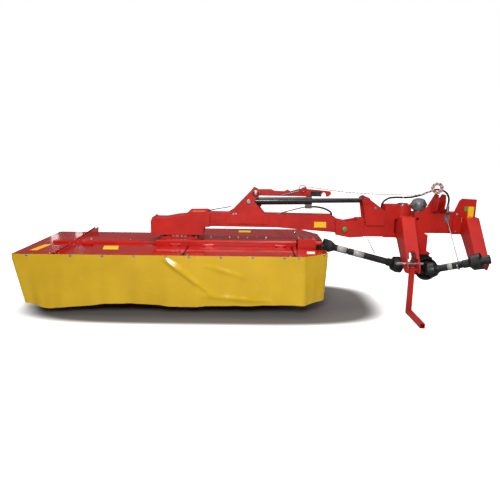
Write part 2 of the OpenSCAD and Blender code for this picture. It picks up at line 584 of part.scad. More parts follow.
module strip_bars() at() color(red) {
  for (x = bar_x) flat_yz(x, 10) polygon([[-step_y + 40, panel_z], [-ridge_half - 1, panel_z], [-ridge_half - 1, ridge_z],
    [ridge_half + 1, ridge_z], [ridge_half + 1, panel_z], [deck_rear - 10, panel_z], [deck_rear + 5, panel_z + 30],
    [deck_rear + 5, panel_z + 58], [-step_y + 40, panel_z + 28]]);
  block([seam_right - 3, -step_y + 32, cover_z], [seam_right + 3, deck_rear - 5, cover_z + 5]);
}
// Input bevel box of the deck
module input_gearbox() at() color(red) {
  block([case_half - 60, shaft_y - 60, panel_z - 70], [case_half + 120, shaft_y + 60, joint_q[1] + 50]);
  block([case_half - 60, shaft_y + 60, case_z0 + 20], [case_half - 2 - 10, -case_w, case_z1 - 30]);
  rod_x([shaft_y, joint_q[1]], 44, case_half + 120, case_half + 130);
  rod_x([shaft_y, joint_q[1]], 24, case_half + 130, stub_end);
}
// Curtains: panels hung outside the folded rims, below which each hem is drawn in by its corners' tucks
curtain_top = panel_z - 2;
curtain_bend = panel_z - rim_drop - 10;
curtain_hem = curtain_top - curtain_drop;
panel_faces = [[0, 1, 3], [0, 3, 2], [2, 3, 5], [2, 5, 4], [6, 9, 7], [6, 8, 9], [8, 11, 9], [8, 10, 11],
  [0, 6, 7], [0, 7, 1], [1, 7, 9], [1, 9, 3], [3, 9, 11], [3, 11, 5], [5, 11, 10], [5, 10, 4],
  [4, 10, 8], [4, 8, 2], [2, 8, 6], [2, 6, 0]];
module panel(a, b, ta, tb) {
  u = unit(b - a);
  n = curtain_thick * [u[1], -u[0]];
  c = a + 4 * u;
  d = b - 4 * u;
  rows = [[c, curtain_top], [d, curtain_top], [c, curtain_bend], [d, curtain_bend],
    [c + ta, curtain_hem], [d + tb, curtain_hem]];
  polyhedron([for (o = [[0, 0], n]) for (r = rows) [r[0][0] + o[0], r[0][1] + o[1], r[1]]], panel_faces);
}
module wall(a, b) panel(a, b, [0, 0], [0, 0]);
fr = [half, -deck_front + corner_cut * 0.7];
cr = [half - corner_cut, -deck_front];
rr = [half, deck_rear - rear_cut[1]];
// columns: corner, tuck of its hem
hem_run = [
  [[half, end_notch[1]], [0, 0]],
  [rr, [0, 0]],
  [[half - rear_cut[0], deck_rear], [0, 0]],
  [[-half, deck_rear], [hem_tuck * 0.4, 0]],
  [[-half, -step_y], [hem_tuck * 0.8, 0]],
  [[-half, -deck_front], [hem_tuck, 0]],
  [[seam_left - slit / 2, -deck_front], [0, 0]],
  [[seam_right + slit / 2, -deck_front], [0, 0]],
  [cr, [0, 0]],
  [fr, [-hem_tuck * 0.2, 0]],
  [[half, end_notch[0]], [-hem_tuck * 0.2, 0]]];
module fixed_curtain() at() color(yellow) for (i = [0 : len(hem_run) - 2]) if (i != 6)
  panel(hem_run[i][0], hem_run[i + 1][0], hem_run[i][1], hem_run[i + 1][1]);
// Hinges of the front covers: lugs on the step carry a pin through the cover's knuckle
flap_axis = [-step_y - 13, panel_z + 13];
flap_pin_r = 6;
knuckle_r = 12;
knuckle_len = 70;
left_hinges = [seam_left + 150, seam_mid - 170];
right_hinges = [seam_mid + 170, seam_right - 150];
module knuckles(xs) for (x = xs) difference() {
  union() {
    rod_x(flap_axis, knuckle_r, x, x + knuckle_len);
    block([x, flap_axis[0] - 40, panel_z], [x + knuckle_len, flap_axis[0] - 2, panel_z + 8]);
  }
  rod_x(flap_axis, flap_pin_r + run, x - 1, x + knuckle_len + 1);
}
module flap_hinges() at() color(steel) for (x = concat(left_hinges, right_hinges)) {
  rod_x(flap_axis, flap_pin_r, x - 16, x + knuckle_len + 16);
  for (e = [x - 16, x + knuckle_len + 1]) flat_yz(e, 15) union() {
    translate(flap_axis) circle(knuckle_r);
    translate([flap_axis[0], flap_axis[1] - 6]) square([-step_y - flap_axis[0] + (x < rise_x0 ? 30 : 0), 18]);
    if (x < rise_x0) translate([-step_y + sheet + 2, panel_z]) square([30 - sheet - 2, 20]);
  }
}
module left_flap() at() color(red) {
  front_cover(seam_left + slit / 2, seam_mid - slit / 2, -step_y - 4);
  knuckles(left_hinges);
  for (x = bar_x) block([x, -deck_front + 5, panel_z], [x + 10, -step_y - 24, panel_z + 24]);
}
module left_curtain() at() color(yellow) wall([seam_left + slit / 2, -deck_front], [seam_mid - slit / 2, -deck_front]);
module right_flap() at() color(red) {
  front_cover(seam_mid + slit / 2, seam_right - slit / 2, -step_y - 4);
  knuckles(right_hinges);
}
module right_curtain() at() color(yellow) wall([seam_mid + slit / 2, -deck_front], [seam_right - slit / 2, -deck_front]);

// Drums: ribbed barrel on a dished cutting disc
module drum(i) at() color(red) translate([drum_x[i], 0, 0]) {
  rotate_extrude() polygon([[hub_r, drum_top], [drum_radius - 20, drum_top], [drum_radius, drum_top - 26], [drum_radius, 130],
    [drum_radius + 20, 104], [disc_radius - 30, disc_z + 16], [disc_radius, disc_z + 12], [disc_radius, disc_z], [disc_radius - 34, disc_z],
    [drum_radius + 10, 92], [skid_hub_r, 92], [skid_hub_r, 110], [drum_radius - drum_wall, 130], [drum_radius - drum_wall, drum_top - 26],
    [drum_radius - 24, drum_top - drum_wall], [hub_r, drum_top - drum_wall]]);
  for (a = [0 : 90 : 270]) rotate(a + 45) block([drum_radius - 2, -5, 150], [drum_radius + 14, 5, drum_top - 70]);
}
module blades(i) at() color(steel) translate([drum_x[i], 0, 0]) for (a = [0 : 120 : 240]) rotate(a + (i % 2) * 60 + 30) {
  difference() {
    translate([0, 0, disc_z - blade_thick]) linear_extrude(blade_thick)
      polygon([[disc_radius - 50, -blade_width / 2], [blade_reach - 16, -blade_width / 2], [blade_reach - 4, 0], [blade_reach - 16, blade_width / 2], [disc_radius - 50, blade_width / 2]]);
    translate([disc_radius - 28, 0, 0]) cylinder(h = 200, r = 9);
  }
}
module skid(i) at() color(steel) translate([drum_x[i], 0, 0]) rotate_extrude()
  polygon([[0, 0], [120, 0], [skid_radius - 30, 18], [skid_radius, 46], [skid_radius - 7, 50], [skid_radius - 36, 25], [118, 8], [skid_hub_r - run, 8],
    [skid_hub_r - run, 106], [0, 106]]);
module drum_1() drum(0);
module drum_2() drum(1);
module drum_3() drum(2);
module drum_4() drum(3);
module blades_1() blades(0);
module blades_2() blades(1);
module blades_3() blades(2);
module blades_4() blades(3);
module skid_1() skid(0);
module skid_2() skid(1);
module skid_3() skid(2);
module skid_4() skid(3);

// Intermediate drive shaft between the headstock and the deck
module along_shaft() translate([joint_p[0], shaft_y, joint_p[1]]) rotate([0, -90 + shaft_tilt, 0]) children();
module drive_yoke() at() color(steel) {
  translate([joint_p[0], shaft_y, joint_p[1]]) sphere(34);
  rod_y(joint_p, 13, shaft_y - 48, shaft_y + 48);
}
module drive_tube() at() color(dark) along_shaft() rotate_extrude()
  polygon([[0, 34 + gap], [24, 34 + gap], [24, 86], [62, 78], [74, 30], [72, -16], [78, -16], [84, 30], [70, 84],
    [guard_r + 8, 100], [guard_r + 6, 140], [guard_r, 146], [guard_r, 560], [guard_r - 6, 560], [guard_r - 6, 130], [0, 130]]);
module drive_rod() at() color(dark) along_shaft() {
  translate([0, 0, 200]) cylinder(h = shaft_len - 360, r = guard_r - 6 - gap);
  translate([0, 0, 576]) cylinder(h = shaft_len - 576 - 130, r = guard_r);
  rotate_extrude() polygon([[0, shaft_len - 170], [guard_r, shaft_len - 170], [62, shaft_len - 120], [bell_r, shaft_len - bell_back], [bell_r - 5, shaft_len - bell_back],
    [56, shaft_len - 112], [0, shaft_len - 112]]);
}

hitch_beam();
left_leg();
right_leg();
hitch_pins();
mast();
side_plate();
headstock_gearbox();
input_bell();
pto_joint();
pto_guard();
pto_yoke();
shaft_hook();
accumulator();
hydraulic_hose();
hose_coupler();
rope_coil();
rope_tail();
parking_stand();
carrier_beam();
pivot_pin();
cylinder_lug();
rope_run();
feed_hose();
arm_beam();
arm_head();
arm_bracket();
lift_pin();
float_pin();
lock_hook();
cylinder_barrel();
cylinder_rod();
gear_case();
deck_bracket();
top_cover();
end_covers();
strip_bars();
input_gearbox();
fixed_curtain();
flap_hinges();
left_flap();
left_curtain();
right_flap();
right_curtain();
drum_1();
drum_2();
drum_3();
drum_4();
blades_1();
blades_2();
blades_3();
blades_4();
skid_1();
skid_2();
skid_3();
skid_4();
drive_yoke();
drive_tube();
drive_rod();
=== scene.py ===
import math

import bmesh
import bpy
from mathutils import Matrix, Vector


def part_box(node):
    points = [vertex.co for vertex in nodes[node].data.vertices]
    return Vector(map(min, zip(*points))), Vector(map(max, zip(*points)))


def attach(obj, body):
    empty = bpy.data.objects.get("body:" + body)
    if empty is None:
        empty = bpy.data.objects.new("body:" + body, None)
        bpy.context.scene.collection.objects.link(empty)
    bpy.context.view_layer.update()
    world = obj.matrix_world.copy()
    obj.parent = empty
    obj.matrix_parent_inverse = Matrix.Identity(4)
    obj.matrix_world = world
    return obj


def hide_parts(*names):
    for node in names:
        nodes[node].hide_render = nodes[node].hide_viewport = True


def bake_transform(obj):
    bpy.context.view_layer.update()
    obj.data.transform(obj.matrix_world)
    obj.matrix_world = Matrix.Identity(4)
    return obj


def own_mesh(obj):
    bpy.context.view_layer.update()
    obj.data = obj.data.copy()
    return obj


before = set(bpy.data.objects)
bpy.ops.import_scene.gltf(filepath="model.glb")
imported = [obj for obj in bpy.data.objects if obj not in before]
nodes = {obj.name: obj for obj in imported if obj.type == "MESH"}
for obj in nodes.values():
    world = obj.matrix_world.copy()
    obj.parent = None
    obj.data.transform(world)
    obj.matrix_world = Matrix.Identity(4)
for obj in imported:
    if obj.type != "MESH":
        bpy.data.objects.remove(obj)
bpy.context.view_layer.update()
scene = bpy.context.scene
print("frame loaded,", len(nodes), "solids")

# the mower is measured in mm from the deck's middle, the arm's plane and the ground
deckMiddle = (798.5, -177.0)


def place(x, y, z):
    return Vector(((x - deckMiddle[0]) / 1000, (y - deckMiddle[1]) / 1000, z / 1000))


# camera, fitted to the photo's edges and holes
cameraSet = {
    "lens": 34.56,
    "eye": (736.6, -5056.6, 1625.8),
    "yaw": 0.0015,
    "pitch": 0.2147,
    "roll": 0.0121,
}
cameraData = bpy.data.cameras.new("photoCamera")
cameraData.lens = cameraSet["lens"]
cameraData.sensor_width = 36
cameraData.clip_end = 60
cameraPiece = bpy.data.objects.new("photoCamera", cameraData)
scene.collection.objects.link(cameraPiece)
cameraPiece.matrix_world = (
    Matrix.Translation(place(*cameraSet["eye"]))
    @ Matrix.Rotation(-cameraSet["yaw"], 4, "Z")
    @ Matrix.Rotation(math.pi / 2 - cameraSet["pitch"], 4, "X")
    @ Matrix.Rotation(cameraSet["roll"], 4, "Z")
)
scene.camera = cameraPiece
print("camera set")


def linear(hexValue):
    out = []
    for i in (0, 2, 4):
        c = int(hexValue[i : i + 2], 16) / 255
        out.append(c / 12.92 if c <= 0.04045 else ((c + 0.055) / 1.055) ** 2.4)
    return (*out, 1.0)


def add(tree, kind, settings=None, links=None, stops=None):
    node = tree.nodes.new(kind)
    for key, value in (settings or {}).items():
        if isinstance(key, str) and hasattr(node, key):
            setattr(node, key, value)
        else:
            node.inputs[key].default_value = value
    for key, source in (links or {}).items():
        tree.links.new(source, node.inputs[key])
    if stops:
        ramp = node.color_ramp.elements
        while len(ramp) < len(stops):
            ramp.new(0.5)
        for element, (position, colour) in zip(ramp, stops):
            element.position = position
            element.color = colour
    return node


def startMaterial(name, settings):
    material = bpy.data.materials.new(name)
    material.use_nodes = True
    tree = material.node_tree
    shader = tree.nodes["Principled BSDF"]
    for key, value in settings.items():
        shader.inputs[key].default_value = value
    where = add(tree, "ShaderNodeTexCoord")
    return material, tree, shader, where


# noise with features of one size in m
def noise(tree, where, size, detail, roughness=0.5):
    settings = {"Scale": 1 / size, "Detail": detail, "Roughness": roughness}
    return add(tree, "ShaderNodeTexNoise", settings, {"Vector": where.outputs["Object"]}).outputs["Fac"]


def tint(tree, shader, value, stops):
    stops = [(position, linear(colour)) for position, colour in stops]
    ramp = add(tree, "ShaderNodeValToRGB", None, {"Fac": value}, stops)
    tree.links.new(ramp.outputs["Color"], shader.inputs["Base Color"])


def dullness(tree, shader, value, span, roughness):
    settings = {"From Min": span[0], "From Max": span[1], "To Min": roughness[0], "To Max": roughness[1]}
    spread = add(tree, "ShaderNodeMapRange", settings, {"Value": value})
    tree.links.new(spread.outputs["Result"], shader.inputs["Roughness"])


def relief(tree, shader, value, strength, distance, base=None):
    links = {"Height": value}
    if base is not None:
        links["Normal"] = base.outputs["Normal"]
    bump = add(tree, "ShaderNodeBump", {"Strength": strength, "Distance": distance}, links)
    tree.links.new(bump.outputs["Normal"], shader.inputs["Normal"])


# sprayed tractor enamel: deep gloss, faint orange peel, a little dust that dulls it in clouds
def sprayedEnamel(name, colours, roughness, peel=0.04, coat=0.3):
    material, tree, shader, where = startMaterial(
        name, {"Coat Weight": coat, "Coat Roughness": 0.08, "Specular IOR Level": 0.4}
    )
    tint(tree, shader, noise(tree, where, 0.26, 5.0, 0.6), zip((0.32, 0.55, 0.78), colours))
    dullness(tree, shader, noise(tree, where, 0.05, 6.0, 0.7), (0.35, 0.7), roughness)
    edge = add(tree, "ShaderNodeBevel", {"samples": 3, "Radius": 0.003})
    # real peel is 2 mm, drawn at 6 mm to show
    relief(tree, shader, noise(tree, where, 0.006, 1.0), peel, 0.002, edge)
    return material


# bare or plated metal: fine scratches, tarnish in patches
def platedSteel(name, colours, roughness, metallic=1.0, patch=0.03):
    material, tree, shader, where = startMaterial(name, {"Metallic": metallic})
    tint(tree, shader, noise(tree, where, patch, 6.0, 0.65), zip((0.35, 0.65), colours))
    scratch = noise(tree, where, 0.004, 3.0)
    dullness(tree, shader, scratch, (0.3, 0.7), roughness)
    relief(tree, shader, scratch, 0.06, 0.001)
    return material


# moulded or dipped black: low sheen, fine grain, grey dust on it
def mouldedBlack(name, colours, roughness, grain):
    material, tree, shader, where = startMaterial(name, {"Specular IOR Level": 0.45})
    dust = noise(tree, where, 0.07, 6.0, 0.6)
    tint(tree, shader, dust, zip((0.4, 0.72), colours))
    dullness(tree, shader, dust, (0.3, 0.7), roughness)
    relief(tree, shader, noise(tree, where, grain, 2.0), 0.12, 0.0015)
    return material


# PVC-coated tarpaulin: wet-looking gloss over a woven scrim, soft wrinkles, handling marks
def coatedTarpaulin(name, colours):
    material, tree, shader, where = startMaterial(name, {"Coat Weight": 0.45, "Coat Roughness": 0.08})
    tint(tree, shader, noise(tree, where, 0.35, 4.0), zip((0.3, 0.55, 0.8), colours))
    dullness(tree, shader, noise(tree, where, 0.09, 5.0, 0.6), (0.35, 0.7), (0.14, 0.32))
    # real threads are 1 mm apart, drawn at 10 mm to show
    threads = [
        add(
            tree,
            "ShaderNodeTexWave",
            {"Scale": 1 / 0.032, "bands_direction": direction},
            {"Vector": where.outputs["UV"]},
        )
        for direction in "XY"
    ]
    weave = add(
        tree,
        "ShaderNodeMath",
        {"operation": "MAXIMUM"},
        {0: threads[0].outputs["Fac"], 1: threads[1].outputs["Fac"]},
    )
    scrim = add(
        tree, "ShaderNodeBump", {"Strength": 0.03, "Distance": 0.001}, {"Height": weave.outputs["Value"]}
    )
    relief(tree, shader, noise(tree, where, 0.12, 3.0), 0.25, 0.012, scrim)
    return material


# twisted polypropylene rope: three strands, one of them red, dull and slightly hairy
def twistedRope(name, pale, bright):
    material, tree, shader, where = startMaterial(name, {"Roughness": 0.75})
    split = add(tree, "ShaderNodeSeparateXYZ", None, {"Vector": where.outputs["UV"]})
    tint(tree, shader, split.outputs["X"], [(0.0, bright), (0.33, bright), (0.36, pale), (1.0, pale)])
    relief(tree, shader, noise(tree, where, 0.002, 2.0), 0.3, 0.001)
    return material


# vinyl film with nothing printed on it: satin, slightly scuffed
def blankFilm(name, colour, scuffed):
    material, tree, shader, where = startMaterial(name, {"Roughness": 0.4})
    tint(tree, shader, noise(tree, where, 0.02, 5.0), [(0.45, colour), (0.8, scuffed)])
    return material


redPaint = sprayedEnamel("redEnamel", ("a4140c", "b81a10", "c42015"), (0.3, 0.48), 0.04, 0.1)
deckPaint = sprayedEnamel("redDeckEnamel", ("a3130b", "b6180e", "c01f13"), (0.14, 0.26), 0.03, 0.6)
darkPaint = sprayedEnamel("blackEnamel", ("0c0c0d", "141416", "1e1e20"), (0.3, 0.5))
zincSteel = platedSteel("zincPlatedSteel", ("9ea2a6", "d4d6d8"), (0.22, 0.42))
dullZinc = platedSteel("dullZinc", ("5c5f62", "85888b"), (0.35, 0.55))
chromeSteel = platedSteel("hardChrome", ("c9ccd0", "eceef0"), (0.05, 0.15))
wornSteel = platedSteel("wornSpringSteel", ("4a4038", "8d8a86"), (0.35, 0.6), 0.85, 0.06)
greyCast = platedSteel("greyPaintedCasting", ("4b4e51", "8d9195"), (0.3, 0.5), 0.4, 0.05)
blackPlastic = mouldedBlack("mouldedGuardPlastic", ("0b0b0c", "2a2a2c"), (0.35, 0.55), 0.003)
hoseRubber = mouldedBlack("hydraulicHoseRubber", ("0a0a0b", "1d1d1f"), (0.4, 0.6), 0.002)
yellowTarp = coatedTarpaulin("pvcTarpaulin", ("c39b0e", "cca411", "d4ac16"))
ropeFibre = twistedRope("polypropyleneRope", "c4bfb6", "a8282c")
yellowFilm = blankFilm("yellowVinyl", "f2c318", "d9a60a")
whiteFilm = blankFilm("whiteVinyl", "eceae4", "cfcbc2")
greyFilm = blankFilm("greyVinyl", "a5a39e", "8b8984")
orangeFilm = blankFilm("orangeVinyl", "e8791a", "c9600e")
greenPlastic = blankFilm("greenCapPlastic", "3f9a45", "2d7a35")

# every other solid is painted red
nodeFinish = [
    (yellowTarp, ["fixed_curtain", "left_curtain", "right_curtain"]),
    (zincSteel, ["hitch_pins", "float_pin", "pivot_pin", "shaft_hook", "hose_coupler"]),
    (deckPaint, ["top_cover", "end_covers", "left_flap", "right_flap", "strip_bars", "flap_hinges"]),
    (darkPaint, ["cylinder_barrel", "cylinder_rod", "headstock_gearbox", "gear_case", "pto_joint"]),
    (blackPlastic, ["input_bell", "pto_guard", "pto_yoke", "drive_yoke", "drive_tube", "drive_rod"]),
    (greyCast, ["accumulator"]),
    (wornSteel, ["skid_1", "skid_2", "skid_3", "skid_4", "blades_1", "blades_2", "blades_3", "blades_4"]),
    (hoseRubber, ["hydraulic_hose", "feed_hose"]),
    (ropeFibre, ["rope_run", "rope_tail", "rope_coil"]),
]
painted = {name: finish for finish, names in nodeFinish for name in names}
for name, piece in nodes.items():
    piece.data.materials.clear()
    piece.data.materials.append(painted.get(name, redPaint))
print("materials on", len(nodes), "solids")


def makePiece(name, verts, faces, material, uvs=None, smooth=False):
    mesh = bpy.data.meshes.new(name)
    mesh.from_pydata([tuple(v) for v in verts], [], faces)
    if uvs:
        layer = mesh.uv_layers.new(name="length")
        for loop in mesh.loops:
            layer.data[loop.index].uv = uvs[loop.vertex_index]
    mesh.materials.append(material)
    if smooth:
        mesh.polygons.foreach_set("use_smooth", [True] * len(mesh.polygons))
    piece = bpy.data.objects.new(name, mesh)
    scene.collection.objects.link(piece)
    return piece


def smoothPath(points, steps):
    path = []
    for i in range(len(points) - 1):
        a, b = points[max(i - 1, 0)], points[i]
        c, d = points[i + 1], points[min(i + 2, len(points) - 1)]
        for k in range(steps):
            t = k / steps
            squared = (2 * a - 5 * b + 4 * c - d) * t * t
            cubed = (3 * b - a - 3 * c + d) * t * t * t
            path.append(0.5 * (2 * b + (c - a) * t + squared + cubed))
    path.append(points[-1])
    return path


def evenPath(path, spacing):
    out, left = [path[0]], spacing
    for a, b in zip(path, path[1:]):
        span = (b - a).length
        while span >= left:
            a = a + (b - a) * (left / span)
            out.append(a)
            span = (b - a).length
            left = spacing
        left -= span
    if (out[-1] - path[-1]).length > spacing * 0.3:
        out.append(path[-1])
    else:
        out[-1] = path[-1]
    return out


strandDepth = 0.12


# a tube swept along a path, twisted into strands where a twist is given
def sweep(name, path, radius, sides, material, twist=None):
    verts, uvs, faces = [], [], []
    side = None
    run = 0.0
    for i, p in enumerate(path):
        along = (path[min(i + 1, len(path) - 1)] - path[max(i - 1, 0)]).normalized()
        if side is None:
            side = along.cross(Vector((0.1, 1, 0.1))).normalized()
        side = (side - along * side.dot(along)).normalized()
        up = along.cross(side)
        if i:
            run += (p - path[i - 1]).length
        for k in range(sides):
            angle = 2 * math.pi * k / sides
            r, turn = radius, angle
            if twist:
                r *= 1 - strandDepth + strandDepth * math.cos(twist["strands"] * angle)
                turn += 2 * math.pi * run / twist["pitch"]
            verts.append(p + side * (r * math.cos(turn)) + up * (r * math.sin(turn)))
            uvs.append((k / sides, run))
    for i in range(len(path) - 1):
        for k in range(sides):
            n = (k + 1) % sides
            faces.append((i * sides + k, i * sides + n, (i + 1) * sides + n, (i + 1) * sides + k))
    faces.append(tuple(range(sides - 1, -1, -1)))
    faces.append(tuple((len(path) - 1) * sides + k for k in range(sides)))
    piece = makePiece(name, verts, faces, material, uvs, True)
    return piece, run


# the rope of the lock hook and the hoses, sizes in m
rope = {"radius": 0.005, "sides": 12, "spacing": 0.004, "twist": {"strands": 3, "pitch": 0.04}}
hose = {"radius": 0.010, "sides": 16, "spacing": 0.008, "twist": None}
# routes in mm
routes = {
    "ropeRun": [
        (1316, 46, 1206),
        (1360, 37, 1203),
        (1430, 26, 1195),
        (1700, 24, 1160),
        (1900, 20, 1146),
        (2150, 10, 1136),
        (2347.5, 0, 1136),
    ],
    "ropeTail": [(2352.5, 0, 1136), (2440, -45, 1140), (2530, -110, 1160), (2582, -155, 1192)],
    "feed": [
        (2128, 6, 887.3),
        (2128, 6, 960),
        (2138, 6, 1046),
        (2195, 5, 1096),
        (2270, 3, 1108),
        (2345.5, 0, 1108),
    ],
    "supply": [
        (2354.5, 0, 1108),
        (2440, 10, 1112),
        (2545, 20, 1136),
        (2600, -20, 1168),
        (2665, -100, 1205),
        (2740, -132, 1180),
        (2775, -135, 1120),
        (2775, -135, 1060.4),
    ],
    "port": [
        (1386, -30, 1002),
        (1430, -34, 1003),
        (1500, -44, 992),
        (1565, -50, 966),
        (1592, -52, 940),
        (1594, -52, 921),
    ],
}
# the coil's turns lie in rings of three rows, sizes in mm, start in degrees
coilSet = {
    "middle": (2640.5, -155, 1222),
    "radius": 56,
    "turns": 9,
    "stepsPerTurn": 14,
    "start": 215,
    "rows": 3,
    "rowGap": 11,
    "ringGap": 10.5,
}


def layCord(name, points, kind, material, steps=12):
    path = evenPath(smoothPath([place(*p) for p in points], steps), kind["spacing"])
    piece, length = sweep(name, path, kind["radius"], kind["sides"], material, kind["twist"])
    return piece, path, length


ropeRun, runPath, runLength = layCord("lockRope", routes["ropeRun"], rope, ropeFibre)
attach(ropeRun, "carrier")
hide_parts("rope_run")

# the tail runs to the mast and is wound in a hanging coil
coil = []
for k in range(coilSet["turns"] * coilSet["stepsPerTurn"]):
    turn = k / coilSet["stepsPerTurn"]
    angle = math.radians(coilSet["start"]) - 2 * math.pi * turn
    ring, row = divmod(int(turn), coilSet["rows"])
    out = coilSet["radius"] - coilSet["ringGap"] * ring + math.sin(3 * angle)
    depth = coilSet["rowGap"] * (row - 1)
    coil.append(Vector(coilSet["middle"]) + Vector((out * math.cos(angle), depth, out * math.sin(angle))))
ropeTail, tailPath, tailLength = layCord("ropeTailCoil", routes["ropeTail"] + coil, rope, ropeFibre, 8)
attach(ropeTail, "headstock")
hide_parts("rope_tail", "rope_coil")

feedHose, feedPath, feedLength = layCord("feedHose", routes["feed"], hose, hoseRubber)
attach(feedHose, "carrier")
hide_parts("feed_hose")
supplyHose, supplyPath, supplyLength = layCord("supplyHose", routes["supply"], hose, hoseRubber)
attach(supplyHose, "headstock")
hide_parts("hydraulic_hose")
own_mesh(ropeRun)
print("cords: rope %.2f + %.2f m, hoses %.2f + %.2f m" % (runLength, tailLength, feedLength, supplyLength))


# the yellow curtains
curtainSet = {
    "top": 603,
    "hem": 108,
    "bend": 553,
    "tuck": 90,
    "thickness": 0.003,
    "step": 12,
    "rows": 40,
    "standOff": 4,
    "swell": 1.3,  # the waves grow downwards by this power and lean by this angle
    "lean": 0.5,
    "plainHem": (6, 300),  # height and length of the hem's wave away from the front
    "crisp": 50,
    "waves": [(610, 9, 0.4), (255, 5, 1.7), (143, 2.5, 3.1)],  # length, height in mm, phase
    "hemLine": [
        (-1500, 10), (-1209, -38), (-972, -22), (-516, 20), (167, -10), (642, 7), (1211, 15), (1500, 20)
    ],
    "creases": [  # ridge from (x, z) to (x, z), height and width in mm, on the front
        ((-80, 580), (70, 450), 12, 18),
        ((-60, 570), (240, 320), 15, 20),
        ((-20, 575), (400, 200), 13, 20),
        ((300, 520), (720, 390), 9, 22),
        ((280, 210), (960, 165), 12, 24),
    ],
}
# the deck: half its width, its front and rear edges and the line where its front covers start
half, front, rear, coverLine = 1500, 650, 540, 205


def hemShift(x):
    line = curtainSet["hemLine"]
    for (x0, s0), (x1, s1) in zip(line, line[1:]):
        if x <= x1:
            t = max(0, (x - x0) / (x1 - x0))
            t = t * t * (3 - 2 * t)
            return s0 + (s1 - s0) * t
    return line[-1][1]


def creaseHeight(x, z):
    total = 0
    for (x0, z0), (x1, z1), height, width in curtainSet["creases"]:
        dx, dz = x1 - x0, z1 - z0
        t = max(0, min(1, ((x - x0) * dx + (z - z0) * dz) / (dx * dx + dz * dz)))
        d = math.hypot(x - x0 - t * dx, z - z0 - t * dz)
        total += height * math.exp(-((d / width) ** 2)) * (4 * t * (1 - t)) ** 0.5
    return total


# corners are x, y and how far the hem is drawn in along x; start is where the waves count from
def hangCurtain(name, corners, start, body, nodeNames):
    path = evenPath([Vector(c) for c in corners], curtainSet["step"])
    top, bend = curtainSet["top"], curtainSet["bend"]
    rows = curtainSet["rows"]
    verts, uvs, faces = [], [], []
    run = 0.0
    for i, p in enumerate(path):
        along = path[min(i + 1, len(path) - 1)] - path[max(i - 1, 0)]
        out = Vector((along.y, -along.x, 0)).normalized()
        if i:
            run += (p - path[i - 1]).length
        isFront = p.y < -coverLine
        hemHeight, hemLength = curtainSet["plainHem"]
        hem = curtainSet["hem"] + (hemShift(p.x) if isFront else hemHeight * math.sin(run / hemLength))
        for k in range(rows + 1):
            t = k / rows
            z = top + (hem - top) * t
            bulge = curtainSet["standOff"]
            for length, height, phase in curtainSet["waves"]:
                turn = 2 * math.pi * (start + run) / length + phase + curtainSet["lean"] * t
                bulge += t ** curtainSet["swell"] * height * math.sin(turn)
            if isFront and abs(p.y + front) < 2:
                bulge += creaseHeight(p.x, z)
            drawnIn = p.z * max(0, (bend - z) / (bend - curtainSet["hem"]))
            verts.append(place(p.x + out.x * bulge + drawnIn, p.y + out.y * bulge, z))
            uvs.append((run / 1000, (top - z) / 1000))
    for i in range(len(path) - 1):
        for k in range(rows):
            a = i * (rows + 1) + k
            faces.append((a, a + 1, a + rows + 2, a + rows + 1))
    piece = makePiece(name, verts, faces, yellowTarp, uvs, True)
    thick = piece.modifiers.new("thickness", "SOLIDIFY")
    thick.thickness = curtainSet["thickness"]
    thick.offset = 0
    shape = bpy.data.meshes.new_from_object(piece.evaluated_get(bpy.context.evaluated_depsgraph_get()))
    shape.set_sharp_from_angle(angle=math.radians(curtainSet["crisp"]))
    piece.modifiers.remove(thick)
    piece.data = shape
    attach(piece, body)
    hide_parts(*nodeNames)


seams = (-1110, 110, 1170)
slit = 0.1
chamferY = -front + 168
tuck = curtainSet["tuck"]
rearRun = [(half, -110, 0), (half, rear - 290, 0), (half - 165, rear, 0), (-half, rear, 0.4 * tuck)]
leftRun = [(-half, -coverLine, 0.8 * tuck), (-half, -front, tuck), (seams[0] - slit, -front, 0)]
rightRun = [
    (seams[2] + slit, -front, 0),
    (half - 240, -front, 0),
    (half, chamferY, -0.2 * tuck),
    (half, -330, -0.2 * tuck),
]
whole = rearRun + leftRun
wholeLength = sum((Vector(a) - Vector(b)).length for a, b in zip(whole, whole[1:]))
hangCurtain(
    "curtainLeftAndRear",
    whole,
    seams[0] - wholeLength,
    "deck",
    ["fixed_curtain"],
)
hangCurtain("curtainRightEnd", rightRun, seams[2], "deck", ["fixed_curtain"])
hangCurtain(
    "curtainLeftFlap",
    [(seams[0] + slit, -front, 0), (seams[1] - slit, -front, 0)],
    seams[0],
    "left_flap",
    ["left_curtain"],
)
hangCurtain(
    "curtainRightFlap",
    [(seams[1] + slit, -front, 0), (seams[2] - slit, -front, 0)],
    seams[1],
    "right_flap",
    ["right_curtain"],
)
print("curtains hung")


